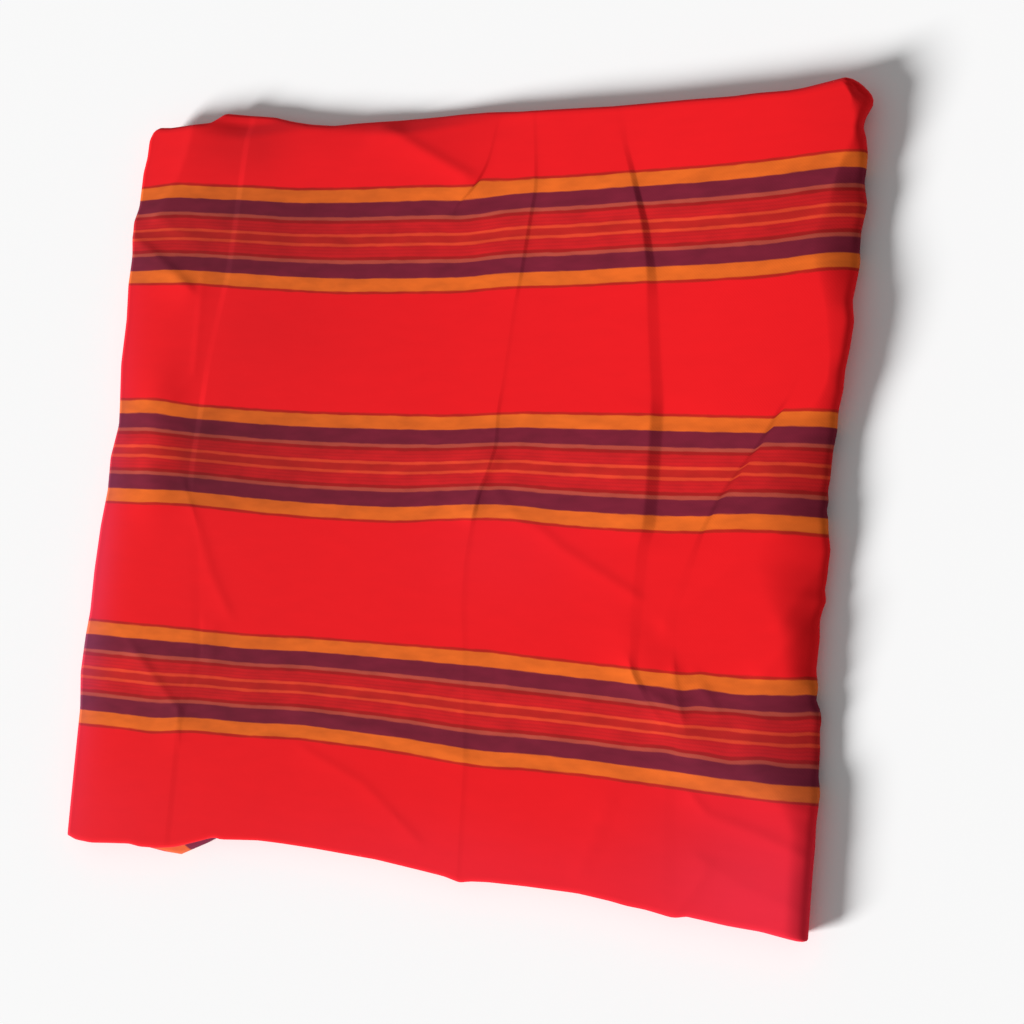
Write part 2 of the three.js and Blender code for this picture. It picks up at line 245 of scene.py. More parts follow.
RIGHT_FALL = [
    [345, 336, 5.0, 1.2], [334, 342, 5.0, 1.2], [318, 347, 3.0, 1.3], [300, 345, 4.0, 1.3],
    [286, 338, 6.0, 1.2], [268, 332, 9.0, 1.25], [245, 328, 9.0, 1.3], [228, 320, 9.0, 1.6],
    [210, 315, 9.5, 1.8], [197, 320, 9.5, 1.7], [180, 326, 6.0, 1.6], [160, 332, 3.0, 1.5],
    [120, 338, 2.0, 1.4], [100, 338, 3.5, 1.4], [82, 330, 5.5, 1.7], [64, 316, 8.5, 2.0],
    [40, 296, 9.5, 2.0], [10, 290, 8.5, 2.0], [-20, 300, 8.0, 1.8], [-50, 286, 10.0, 2.0],
    [-80, 300, 10.5, 1.9], [-110, 315, 9.5, 1.9], [-145, 320, 8.5, 1.8], [-165, 296, 9.5, 1.9],
    [-185, 281, 11.0, 2.0], [-210, 284, 10.5, 2.0], [-238, 320, 6.0, 1.8], [-262, 333, 5.0, 1.8],
    [-300, 333, 5.0, 1.8], [-345, 334, 4.5, 1.8],
]
SHORTEST_RIGHT_FALL = 6

# Where the face starts to fall towards the far fold, and how far it falls: [x, start y, fall]

FAR_FALL = [
    [-350, 338, 0.5], [-300, 337, 0.8], [-270, 331, 2.5], [-240, 327, 4.0], [-210, 331, 4.0],
    [-172, 334, 3.5], [-110, 328, 4.5], [-76, 325, 5.5], [-36, 328, 5.0], [0, 333, 3.5],
    [37, 337, 1.0], [60, 338, 0.0], [350, 338, 0.0],
]
FAR_FALL_REACH = 14
FAR_FALL_ROUNDNESS = 1.2

# Fine creases of the face alone: [rise, width on the left, width on the right, the points], where
# left and right are those of somebody who walks from the first point to the last

FINE_CREASES = [
    [0.9, 5, 26, [[-92, 331], [-50, 308], [-6, 284]]],
    [0.5, 2.2, 5, [[-80, 328], [-58, 314], [-34, 301], [-6, 286]]],
    [1.7, 34, 14, [[-299, 342], [-302, 318], [-309, 292], [-321, 268], [-328, 256]]],
    [1.1, 2.6, 8, [[-350, 231], [-335, 222], [-320, 211], [-301, 197], [-285, 184]]],
    [1.2, 3, 26, [[48, 24], [42, 12], [36, -2], [32, -18]]],
    [0.7, 12, 16, [[346, -12], [319, -18], [300, -29], [277, -47], [218, -104]]],
    [0.6, 4, 8, [[345, -88], [329, -106], [304, -140]]],
    [0.5, 3, 7, [[342, -52], [331, -69], [317, -94]]],
    [0.6, 2.4, 9, [[56, -4], [64, -12], [74, -21], [84, -26], [93, -29], [119, -47], [186, -82]]],
    [0.6, 3, 10, [[-264, -10], [-246, -45], [-226, -88], [-206, -118]]],
    [0.9, 2.4, 7, [[-300, -163], [-281, -181], [-267, -194], [-248, -212]]],
    [0.3, 2, 5, [[-247, -210], [-243, -236]]],
    [0.4, 7, 1.8, [[-229, -136], [-226, -160]]],
    [0.5, 7, 1.8, [[-219, -140], [-218, -178], [-242, -206]]],
    [0.7, 2.4, 5, [[227, -143], [229, -154], [233, -169], [236, -178]]],
    [0.6, 2, 5, [[250, -149], [256, -158], [263, -168]]],
    [0.7, 2.4, 5, [[189, -143], [194, -154], [200, -160], [218, -167]]],
    [0.4, 2, 5, [[234, -147], [244, -153], [252, -158]]],
    [0.6, 4, 6, [[-120, -204], [-30, -216], [0, -224], [42, -229]]],
    [0.4, 2.4, 8, [[-110, -238], [-50, -262], [4, -302]]],
    [0.6, 4, 12, [[254, -246], [265, -256], [308, -267], [345, -280]]],
    [0.3, 6, 14, [[262, -292], [300, -310], [340, -322]]],
    [0.4, 3, 9, [[179, -258], [173, -277], [161, -310]]],
    [0.4, 4, 8, [[266, -303], [258, -318], [246, -334]]],
    [0.5, 5, 8, [[282, -225], [312, -240], [345, -246]]],
    [0.4, 6, 3, [[-271, 196], [-269, 100], [-290, 76]]],
]

# Where the outer sides of the yellow stripes cross the face, band by band:
# [x, first far, first near, second far, second near, third far, third near]

BAND_SIDES = [
    [-350, 281, 188, 73, -24, -139, -235],
    [-310, 284, 188, 74, -24, -140, -235],
    [-270, 281, 187, 69, -23, -140, -236],
    [-230, 279, 184, 67, -25, -141, -231],
    [-180, 275, 181, 65, -28, -142, -231],
    [-120, 274, 178, 64, -30, -140, -228],
    [-40, 274, 178, 64, -30, -140, -230],
    [0, 272, 178, 64, -26, -140, -232],
    [35, 277, 181, 66, -24, -140, -235],
    [65, 278, 182, 68, -23, -140, -236],
    [100, 278, 182, 68, -26, -142, -234],
    [160, 280, 184, 68, -28, -144, -234],
    [220, 281, 185, 68, -28, -146, -236],
    [280, 284, 187, 67, -25, -145, -238],
    [320, 288, 192, 68, -25, -144, -239],
    [350, 290, 195, 69, -26, -142, -238],
]

# Right of the slanted crease the second band rises over a short step: [y, how far]. The rise is there
# between two places across the stripes: [near place, its fade, far place, its fade].

BAND_RISE = [[90, 6], [60, 5.5], [30, 5], [3, 3], [-27, 0.8], [-60, 0]]
BAND_RISE_STEP = 4.4
BAND_RISE_SPAN = [-60, 25, 130, 40]

# Right of the kinked crease, which crosses the first band's far stripe, the stripe jumps and comes back

JUMP_RISE = 4.5
JUMP_STEP = 2.4
JUMP_REACH = 20
JUMP_SPAN = [258, 12, 300, 12]

# The stripes start to rise this far to the left of a crease
STEP_LEAD = 1

# Small ripples of the stripes: [x, y, reach along x, reach along y, how far they rise]

STRIPE_RIPPLES = [
    [236, -168, 9, 20, -1.8],
    [250, -150, 9, 12, 1.3],
    [285, -158, 16, 12, -1.4],
    [282, -176, 12, 8, 1.2],
    [350, -165, 16, 45, 2.8],
    [222, -208, 14, 12, 1.5],
    [278, -212, 14, 12, -1.6],
    [308, -210, 14, 12, 1.3],
]

# In the lower half the near fold runs askew, which turns darker stripes outwards: [x, how far]

LOWER_NEAR_DRIFT = [[-350, 0], [-240, 0], [-229, 15], [-150, 15], [200, 0], [350, 0]]
LOWER_DRIFT_REACH = 30

# Where the bands lie on the flat cloth, with as many in each third. The wander of the face's own stripes
# fades beyond the doubling fold.

BAND_PERIOD = 212.5
YELLOW_SIDE = 48.0
FIRST_BAND_PLACE = 150.4
BANDS_IN_THIRD = 3
FACE_RUN_FADE = 260

# Painted shade in soft patches, where the light falls off across the face and where the face turns from
# the key: [x, y, reach to the left, to the right and along y, how much darker the stripes are there, how
# much darker the ground]

PAINTED_SHADE_PATCHES = [
    [-225, 240, 90, 140, 62, 0.29, 0.04],
    [-330, 235, 40, 60, 50, 0.10, 0.0],
    [-232, 25, 36, 150, 72, 0.26, 0.04],
    [-210, -185, 60, 140, 62, 0.12, 0.02],
    [-225, 317, 70, 30, 28, 0.10, 0.15],
    [-195, 145, 80, 130, 50, 0.0, 0.09],
    [290, 235, 70, 90, 62, 0.10, 0.0],
    [305, 12, 40, 60, 50, 0.14, 0.0],
    [315, -185, 60, 60, 60, 0.12, 0.0],
    [345, 320, 45, 40, 60, 0.0, 0.05],
    [250, -292, 70, 60, 40, 0.0, 0.09],
    [-262, 24, 20, 30, 48, 0.26, 0.0],
]

# Painted cool sheen, in patches where the cloth is mixed towards a cooler pink, as a sky reflection would
# tint it: [x, y, reach along x, reach along y, share]

PAINTED_SHEEN_PATCHES = [
    [-366, -90, 26, 230, 0.085],
    [330, -320, 110, 90, 0.042],
    [-340, -330, 90, 60, 0.012],
    [60, -330, 220, 45, 0.018],
    [60, -50, 90, 50, 0.006],
]

# The grid of the cloth's face side. The back side has every second row and column. The lip columns are
# in half widths of a ramp from the middle of a long crease. The lower columns are x places in the lower
# half, closer together where a corner of it looks out.

FACE_ROWS = 210
HIDDEN_ROWS = 29
HEM_ROWS = 2
TURN_STEPS = 6
DOUBLING_STEPS = 16
COLUMNS_BETWEEN_CREASES = [36, 51, 15, 32, 28, 26]
LOWER_COLUMNS = [300, 260, 220, 175, 130, 90, 50, 0, -50, -100, -150, -178, -190, -200, -212, -226,
                 -238, -256, -280, -305, -330]
LIP_COLUMNS = [-1.9, -1.4, -1.12, -0.9, -0.6, 0, 0.6, 0.9, 1.12, 1.4, 1.9]
NORMAL_STEP = 0.01

# A smoothed curve covers this span of millimetres, and its kernel is this many roundings wide

CURVE_FROM = -420
CURVE_TO = 2100
KERNEL_WIDTH = 1.4


def smooth(value):
    """A soft step from 0 to 1."""
    clipped = np.clip(value, 0, 1)
    return clipped * clipped * (3 - 2 * clipped)


def bell(distance, half_width):
    return np.exp(-(distance / half_width) ** 2)


def within(place, low, low_fade, high, high_fade):
    """1 between two places, with a soft fade inside each of them, and 0 outside."""
    return smooth((place - low) / low_fade) * smooth((high - place) / high_fade)


def soft_distance(distance, rounding):
    return np.sqrt(distance * distance + rounding * rounding) - rounding


def curve_through(stops, column=1, rounding=5):
    """A function that runs through the stops, with its corners rounded over a few millimetres."""
    stops = np.array(sorted(stops), float)
    places = np.arange(CURVE_FROM, CURVE_TO + 1.0)
    values = np.interp(places, stops[:, 0], stops[:, column])
    reach = 3 * rounding
    kernel = bell(np.arange(-reach, reach + 1), KERNEL_WIDTH * rounding)
    values = np.convolve(np.pad(values, reach, mode="edge"), kernel / kernel.sum(), mode="valid")
    return lambda place: np.interp(place, places, values)


EDGE_ROUNDINGS = {"upper": 2, "lower": 2, "inner": 12}
EDGE_CURVES = {
    name: {part: curve_through(stops, rounding=EDGE_ROUNDINGS[part]) for part, stops in edge.items()}
    for name, edge in {"far": FAR_EDGE, "near": NEAR_EDGE, "right": RIGHT_EDGE, "left": LEFT_EDGE}.items()
}
CREASE_CURVES = {
    name: {
        "x": curve_through(stops, 1),
        "ridge": curve_through(stops, 2),
        "drop": curve_through(stops, 3, rounding=3),
        "ramp": curve_through(stops, 4),
        "reach": CREASE_REACHES[name],
    }
    for name, stops in LONG_CREASES.items()
}
SWELL_CURVE = curve_through(SWELL, rounding=14)
PUFF_CURVE = curve_through(DOUBLING_PUFF, rounding=25)
RIGHT_FALL_CURVES = [curve_through(RIGHT_FALL, column, rounding=4) for column in (1, 2, 3)]
FAR_FALL_CURVES = [curve_through(FAR_FALL, column, rounding=8) for column in (1, 2)]
BAND_SIDE_CURVES = [curve_through(BAND_SIDES, column, rounding=9) for column in range(1, 7)]
BAND_RISE_CURVE = curve_through(BAND_RISE, rounding=4)
LOWER_DRIFT_CURVE = curve_through(LOWER_NEAR_DRIFT, rounding=3)
UPPER_SELVEDGE_CURVE, LOWER_SELVEDGE_CURVE = (
    curve_through(SELVEDGE_DRAW, column, rounding=30) for column in (1, 2))


def beside_line(points, x, y):
    """How far to the right of a bent line a point is, and how far past the line's ends."""
    nearest = np.full_like(x, np.inf)
    side = np.ones_like(x)
    past = np.zeros_like(x)
    last = len(points) - 2
    for index, ((start_x, start_y), (end_x, end_y)) in enumerate(zip(points, points[1:])):
        length = math.hypot(end_x - start_x, end_y - start_y)
        step_x = (end_x - start_x) / length
        step_y = (end_y - start_y) / length
        along = (x - start_x) * step_x + (y - start_y) * step_y
        across = (x - start_x) * step_y - (y - start_y) * step_x
        before = np.maximum(0, -along)
        after = np.maximum(0, along - length)
        gap = (before if index > 0 else 0) + (after if index < last else 0)
        beyond = (before if index == 0 else 0) + (after if index == last else 0)
        away = np.hypot(across, gap)
        closer = away < nearest
        nearest = np.where(closer, away, nearest)
        side = np.where(closer, np.sign(across), side)
        past = np.where(closer, beyond, past)
    return nearest * side, past


def broad_fold_rise(fold, x, y):
    from_x, from_y, to_x, to_y, rise, half_width = fold
    across, past = beside_line([[from_x, from_y], [to_x, to_y]], x, y)
    return rise * bell(across, half_width) * bell(past, FOLD_END_FADE * half_width)


def fine_crease_rise(crease, x, y):
    rise, left_width, right_width, points = crease
    across, past = beside_line(points, x, y)
    width = np.where(across < 0, left_width, right_width)
    return rise * np.exp(-soft_distance(across, CREASE_ROUNDING) / width) * bell(past, CREASE_END_FADE)


def long_crease_ramp(crease, x, y):
    """The drop over a long crease, half of it above the plain face and half below."""
    past = x - crease["x"](y)
    place = past / crease["ramp"](y)
    step = np.sqrt((place + 1) ** 2 + RAMP_ROUNDING) - np.sqrt((place - 1) ** 2 + RAMP_ROUNDING)
    return -crease["drop"](y) / 4 * step * bell(past, crease["reach"])


def long_crease_ridge(crease, x, y):
    past = x - crease["x"](y) + crease["ramp"](y)
    width = np.where(past < 0, *RIDGE_WIDTHS)
    return crease["ridge"](y) * np.exp(-soft_distance(past, CREASE_ROUNDING) / width)


def doubling_puff(x, y):
    return PUFF_CURVE(y) * bell(np.maximum(0, FOLD_CENTRE_X - x), PUFF_REACH)


def right_fall(x, y):
    start, fall, roundness = (curve(y) for curve in RIGHT_FALL_CURVES)
    reach = np.maximum(SHORTEST_RIGHT_FALL, DOUBLING_FOLD_X + EDGE_CURVES["right"]["upper"](y) - start)
    return fall * np.clip((x - start) / reach, 0, 1) ** roundness


def far_fall(x, y):
    start, fall = (curve(x) for curve in FAR_FALL_CURVES)
    return fall * np.clip((y - start) / FAR_FALL_REACH, 0, 1) ** FAR_FALL_ROUNDNESS


def broad_rise(x, y):
    """How far the face stands above its plain height, by the forms that the lower layers follow."""
    rise = SWELL_CURVE(x) + doubling_puff(x, y) - right_fall(x, y) - far_fall(x, y)
    for crease in CREASE_CURVES.values():
        rise = rise + long_crease_ramp(crease, x, y)
    for fold in BROAD_FOLDS:
        rise = rise + broad_fold_rise(fold, x, y)
    return rise


def fine_rise(x, y):
    """How far the sharp creases stand out of that, on the face alone."""
    rise = np.zeros_like(x)
    for crease in CREASE_CURVES.values():
        rise += long_crease_ridge(crease, x, y)
    for crease in FINE_CREASES:
        rise += fine_crease_rise(crease, x, y)
    return rise


def edge_out(edge, place, upper):
    """How far an edge lies outside the rectangle, from 0 at the floor layer to 1 at the face."""
    curves = EDGE_CURVES[edge]
    return curves["lower"](place) * (1 - upper) + curves["upper"](place) * upper


def right_edge_out(place, upper, depth):
    """The same at the doubling fold, where a layer is also this deep inside it."""
    curves = EDGE_CURVES["right"]
    inner = np.minimum(1, depth / LAYER_PITCH)
    out = curves["upper"](place) * (1 - inner) + curves["inner"](place) * inner
    lean = 0.5 + (upper - 0.5) * (1 - (1 - INNER_LEAN) * inner)
    return out - FOLD_UNDERCUT * (1 - lean)


def felt(share_from_edge):
    """How much of an edge's unevenness reaches in to a point."""
    return np.maximum(0, 1 - share_from_edge / EDGE_REACH) ** 2


def section(length):
    """The plain section: the cloth's y, and its depth below the outermost layer."""
    far_angle = np.clip((length - UNDER_END) / FAR_TURN, 0, math.pi)
    near_angle = np.clip((length - FACE_END) / NEAR_TURN, 0, math.pi)
    parts = [length < UNDER_END, length < FACE_START, length <= FACE_END, length <= TUCKED_START]
    y = np.select(parts, [
        UNDER_START_Y + length,
        FAR_START_Y + FAR_TURN * np.sin(far_angle),
        FAR_START_Y - (length - FACE_START),
        NEAR_START_Y - NEAR_TURN * np.sin(near_angle),
    ], NEAR_START_Y + (length - TUCKED_START))
    depth = np.select(parts, [
        np.full_like(length, UNDER_DEPTH),
        FAR_TURN + FAR_TURN * np.cos(far_angle),
        np.zeros_like(length),
        NEAR_TURN - NEAR_TURN * np.cos(near_angle),
    ], np.full_like(length, TUCKED_DEPTH))
    return y, depth


def doubling(length, depth):
    """The doubling path of a layer at this depth: x and z. The turn is pressed squarer outside."""
    angle = np.clip((length - HALF_LENGTH) / FOLD_RADIUS, 0, math.pi)
    sine = np.sin(angle)
    cosine = np.cos(angle)
    power = PRESSED_OUTER + (PRESSED_INNER - PRESSED_OUTER) * depth / UNDER_DEPTH
    radius = (FOLD_RADIUS - depth) / (np.abs(sine) ** power + np.abs(cosine) ** power) ** (1 / power)
    x = np.select([length <= HALF_LENGTH, length < LOWER_START], [
        OPEN_EDGE_X + length,
        FOLD_CENTRE_X + radius * sine,
    ], FOLD_CENTRE_X - (length - LOWER_START))
    return x, FOLD_CENTRE_Z + radius * cosine


def cloth_point(across_length, along_length):
    """The middle of the cloth's thickness, in the uneven stack that it has settled into."""
    plain_y, depth = section(across_length)
    plain_x, plain_z = doubling(along_length, depth)
    height = np.maximum(0, (plain_z - FLOOR_LAYER_Z) / STACK_HEIGHT)
    upper = smooth(height)
    from_left = (plain_x - OPEN_EDGE_X) / (DOUBLING_FOLD_X - OPEN_EDGE_X)
    from_near = 0.5 + plain_y / FOLDED_DEPTH
    right_out = right_edge_out(plain_y, upper, depth) * felt(1 - from_left)
    left_out = edge_out("left", plain_y, upper) * felt(from_left)
    far_out = edge_out("far", plain_x, upper) * felt(1 - from_near)
    near_out = edge_out("near", plain_x, upper) * felt(from_near)
    x = plain_x + right_out - left_out
    y = plain_y + far_out - near_out
    rise = broad_rise(x, y) * height ** FOLD_FOLLOWING + fine_rise(x, y) * height ** CREASE_FOLLOWING
    return np.stack([x, y, plain_z + rise], axis=-1)


def cloth_normal(across_length, along_length):
    across = cloth_point(across_length + NORMAL_STEP, along_length) - cloth_point(
        across_length - NORMAL_STEP, along_length)
    along = cloth_point(across_length, along_length + NORMAL_STEP) - cloth_point(
        across_length, along_length - NORMAL_STEP)
    normal = np.cross(across, along)
    return normal / np.linalg.norm(normal, axis=-1, keepdims=True)


def cloth_thickness(across_length, along_length):
    """Thicker at the hems of the two narrow ends, and a little along the two selvedges."""
    to_end = np.minimum(across_length, CLOTH_LENGTH - across_length)
    to_side = np.minimum(along_length - along_length[:, :1], along_length[:, -1:] - along_length)
    hem = (HEM_THICKNESS - CLOTH_THICKNESS) * smooth((HEM_DEPTH - to_end) / THICKENING_STEP)
    selvedge = SELVEDGE_THICKNESS - CLOTH_THICKNESS
    selvedge *= smooth((SELVEDGE_WIDTH - to_side) / THICKENING_STEP)
    return CLOTH_THICKNESS + hem + selvedge


def stripe_rise(x, y):
    """How far the creases and ripples of the face lift the stripes towards the far fold."""
    past_slant = x - CREASE_CURVES["slanted"]["x"](y)
    past_kink = x - CREASE_CURVES["kink"]["x"](y)
    step = BAND_RISE_CURVE(y) * smooth((past_slant + STEP_LEAD) / BAND_RISE_STEP)
    jump = JUMP_RISE * smooth((past_kink + STEP_LEAD) / JUMP_STEP)
    jump *= bell(np.maximum(0, past_kink), JUMP_REACH)
    lifted = step * within(y, *BAND_RISE_SPAN) + jump * within(y, *JUMP_SPAN)
    for ripple_x, ripple_y, reach_x, reach_y, ripple in STRIPE_RIPPLES:
        lifted += ripple * bell(x - ripple_x, reach_x) * bell(y - ripple_y, reach_y)
    return lifted


def band_place(x, y):
    """Where a point of the face lies across the cloth, so that the stripes run as they do there."""
    y = y - stripe_rise(x, y)
    bands = [FIRST_BAND_PLACE + (BANDS_IN_THIRD + band) * BAND_PERIOD for band in range(BANDS_IN_THIRD)]
    places = [band + side * YELLOW_SIDE for band in bands for side in (-1, 1)]
    sides = [curve(x) for curve in BAND_SIDE_CURVES]
    place = places[0] + sides[0] - y
    for index in range(len(places) - 1):
        share = (sides[index] - y) / (sides[index] - sides[index + 1])
        between = places[index] + (places[index + 1] - places[index]) * share
        place = np.where(y < sides[index], between, place)
    return np.where(y < sides[-1], places[-1] + sides[-1] - y, place)


def run(start, end, steps):
    return np.linspace(start, end, steps, endpoint=False)


def columns_of_row(row):
    """The places of a row's corners along the doubling path, from the upper selvedge to the lower one."""
    y = section(np.array([row]))[0]
    start = UPPER_SELVEDGE_CURVE(row)
    stops = []
    for crease, count in zip(CREASE_CURVES.values(), COLUMNS_BETWEEN_CREASES):
        middle = crease["x"](y)[0] - OPEN_EDGE_X
        lips = [middle + lip * crease["ramp"](y)[0] for lip in LIP_COLUMNS]
        stops += [*run(start, lips[0], count), *lips[:-1]]
        start = lips[-1]
    stops += [*run(start, HALF_LENGTH, COLUMNS_BETWEEN_CREASES[-1])]
    stops += [*run(HALF_LENGTH, LOWER_START, DOUBLING_STEPS), LOWER_START]
    stops += [LOWER_START + FOLD_CENTRE_X - x for x in LOWER_COLUMNS]
    return [*stops, PATH_LENGTH - LOWER_SELVEDGE_CURVE(row)]


def cloth_grid():
    """The rows and columns of the cloth, as lengths across and along the stripes."""
    rows = np.concatenate([
        run(0, HEM_DEPTH, HEM_ROWS),
        run(HEM_DEPTH, UNDER_END, HIDDEN_ROWS),
        run(UNDER_END, FACE_START, TURN_STEPS),
        run(FACE_START, FACE_END, FACE_ROWS),
        run(FACE_END, TUCKED_START, TURN_STEPS),
        run(TUCKED_START, CLOTH_LENGTH - HEM_DEPTH, HIDDEN_ROWS),
        np.linspace(CLOTH_LENGTH - HEM_DEPTH, CLOTH_LENGTH, HEM_ROWS + 1),
    ])
    columns = np.array([columns_of_row(row) for row in rows])
    return np.repeat(rows[:, None], columns.shape[1], axis=1), columns


def quads_between(index):
    corners = [index[:-1, :-1], index[1:, :-1], index[1:, 1:], index[:-1, 1:]]
    return np.stack(corners, axis=-1).reshape(-1, 4)


def cloth_faces(row_count, column_count):
    """Quads for the face side and, at half its steps, the back side, and strips for the cut edges."""
    face = np.arange(row_count * column_count).reshape(row_count, column_count)
    back_rows = (row_count + 1) // 2
    back_columns = (column_count + 1) // 2
    back = np.arange(back_rows * back_columns).reshape(back_rows, back_columns) + face.size
    faces = [*quads_between(face).tolist(), *quads_between(back)[:, ::-1].tolist()]
    rims = [
        (face[::-1, 0], back[::-1, 0]),
        (face[:, -1], back[:, -1]),
        (face[0, :], back[0, :]),
        (face[-1, ::-1], back[-1, ::-1]),
    ]
    for fine, coarse in rims:
        for step in range(len(coarse) - 1):
            corners = [*fine[2 * step:2 * step + 3], coarse[step + 1], coarse[step]]
            faces.append([int(corner) for corner in corners])
    return faces


def both_sides(face, back):
    """A row for each corner of the face side, and then one for each of the back side."""
    width = face.shape[-1]
    return np.concatenate([face.reshape(-1, width), back[::2, ::2].reshape(-1, width)])


def cloth_coordinates(across_length, along_length, face_drift):
    """The cloth's own lengths along and across, drifted so that its stripes wander as on the face."""
    drift = face_drift * smooth((HALF_LENGTH + FACE_RUN_FADE - along_length) / FACE_RUN_FADE)
    lower_x = FOLD_CENTRE_X - np.maximum(0, along_length - LOWER_START)
    drift += LOWER_DRIFT_CURVE(lower_x) * bell(across_length - TUCKED_START, LOWER_DRIFT_REACH)
    return np.stack([along_length, across_length + drift], axis=-1)


def painted_shade_and_sheen(x, y):
    """Painted shade and sheen: what is left of the stripes' colour and of the ground's under the painted
    shade, and the share of painted cool sheen.
    """
    stripes = np.ones_like(x)
    ground = np.ones_like(x)
    # Painted shade: each patch darkens the colour where the face lies in softer light
    for patch_x, patch_y, left_reach, right_reach, reach_y, stripe_share, ground_share in PAINTED_SHADE_PATCHES:
        across = (x - patch_x) / np.where(x < patch_x, left_reach, right_reach)
        shade_mask = bell(across, 1) * bell(y - patch_y, reach_y)
        stripes *= 1 - stripe_share * shade_mask
        ground *= 1 - ground_share * shade_mask
    # Painted sheen: the share that is mixed towards a cool pink, as a sky reflection
    painted_sheen = np.zeros_like(x)
    for patch_x, patch_y, reach_x, reach_y, share in PAINTED_SHEEN_PATCHES:
        painted_sheen += share * bell(x - patch_x, reach_x) * bell(y - patch_y, reach_y)
    return np.stack([stripes, ground, painted_sheen], axis=-1)


def folded_blanket():
    """One closed sheet, with the cloth's own coordinates as its UV map and its painted shade and sheen as
    an attribute.
    """
    across_length, along_length = cloth_grid()
    middle = cloth_point(across_length, along_length)
    thickness = cloth_thickness(across_length, along_length)
    half = cloth_normal(across_length, along_length) * thickness[..., None] / 2
    corners = both_sides(middle + half, middle - half)
    corners[:, 2] = np.maximum(corners[:, 2], 0)
    mesh = bpy.data.meshes.new("folded_blanket")
    mesh.from_pydata(((corners + STACK_SHIFT) * MM).tolist(), [], cloth_faces(*across_length.shape))

    on_face = np.clip(across_length, FACE_START, FACE_END)
    x, y, _ = np.moveaxis(cloth_point(on_face, np.minimum(along_length, HALF_LENGTH)), -1, 0)
    cloth = cloth_coordinates(across_length, along_length, band_place(x, y) - on_face) * MM
    loops = np.zeros(len(mesh.loops), np.int32)
    mesh.loops.foreach_get("vertex_index", loops)
    cloth_at_loops = both_sides(cloth, cloth)[loops].astype(np.float32)
    mesh.uv_layers.new(name="cloth").data.foreach_set("uv", cloth_at_loops.ravel())
    # Painted shade and sheen, kept on the points for the material
    painted_light = painted_shade_and_sheen(x, y)
    attribute = mesh.attributes.new("painted_light", "FLOAT_VECTOR", "POINT")
    attribute.data.foreach_set("vector", both_sides(painted_light, painted_light).astype(np.float32).ravel())

    mesh.polygons.foreach_set("use_smooth", np.ones(len(mesh.polygons), bool))
    mesh.update()
    blanket = bpy.data.objects.new("folded_blanket", mesh)
    bpy.context.scene.collection.objects.link(blanket)
    return blanket


# Woven colours, as sRGB, and how far each stripe reaches from the middle of its band. The fainter dye of
# the ground takes over across a short step past the yellow stripe.

GROUND_RED = (236, 20, 26)
STRIPES = [
    [3.2, (190, 32, 26)],
    [5.8, (226, 66, 37)],
    [15.8, (204, 26, 29)],
    [18.8, (165, 25, 23)],
    [22.0, (183, 72, 57)],
    [35.8, (120, 27, 47)],
    [48.0, (228, 102, 30)],
    [50.4, (185, 31, 20)],
]
STRIPE_BLEND = 1.1
BAND_REACH = 60.0
GROUND_STEP = (50.0, 51.5)

# Fine pinstripes in the mid red of a band. The share of their colour swings about a mean.

PINSTRIPE_RED = (110, 20, 24)
PINSTRIPE_PITCH = 3.0
PINSTRIPE_MIDDLE = 10.6
PINSTRIPE_REACH = 4.4
PINSTRIPE_MEAN = 0.05
PINSTRIPE_SWING = 0.09

# The least tone of the dye, and how far it varies above that

STRIPE_DYE = (0.75, 0.5)
GROUND_DYE = (0.97, 0.06)
# The cool pink that the painted sheen mixes towards
PAINTED_SHEEN_PINK = (0.9, 0.3, 0.75, 1.0)

# The threads: their pitch, how far they wander in all, and the relief of the weave

THREAD_PITCH = 1.3
THREAD_WANDER = 1.4
WEAVE_RELIEF = 0.12
WEAVE_STRENGTH = 0.12
CLOTH_FINISH = {
    "Roughness": 0.9,
    "Specular IOR Level": 0.12,
    "Sheen Weight": 0.05,
    "Sheen Roughness": 0.5,
    "Sheen Tint": (0.75, 0.6, 1.0, 1.0),
}
FLOOR_FINISH = {
    "Base Color": (0.98, 0.98, 0.98, 1.0),
    "Roughness": 0.9,
    "Specular IOR Level": 0.1,
}


def linear(colour):
    """An sRGB colour of 0 to 255, as the linear colour that a shader takes."""
    shares = [value / 255 for value in colour]
    return (*[s / 12.92 if s < 0.04045 else ((s + 0.055) / 1.055) ** 2.4 for s in shares], 1.0)


def set_inputs(shader, values):
    for name, value in values.items():
        shader.inputs[name].default_value = value


def node(tree, kind, place, **settings):
    made = tree.nodes.new(kind)
    made.location = place
    for name, value in settings.items():
        setattr(made, name, value)
    return made


def feed(tree, sockets, values):
    """Sets each socket to a plain value, or links it to the output that is given instead."""
    for socket, value in zip(sockets, values):
        if isinstance(value, (int, float, tuple)):
            socket.default_value = value
        else:
            tree.links.new(value, socket)


def math_node(tree, operation, place, *values):
    made = node(tree, "ShaderNodeMath", place, operation=operation)
    feed(tree, made.inputs, values)
    return made.outputs[0]


def mix_colours(tree, place, share, first, second):
    made = node(tree, "ShaderNodeMixRGB", place, blend_type="MIX")
    feed(tree, made.inputs, (share, first, second))
    return made.outputs[0]


def axes_of(tree, place, vector):
    split = node(tree, "ShaderNodeSeparateXYZ", place)
    tree.links.new(vector, split.inputs[0])
    return split.outputs


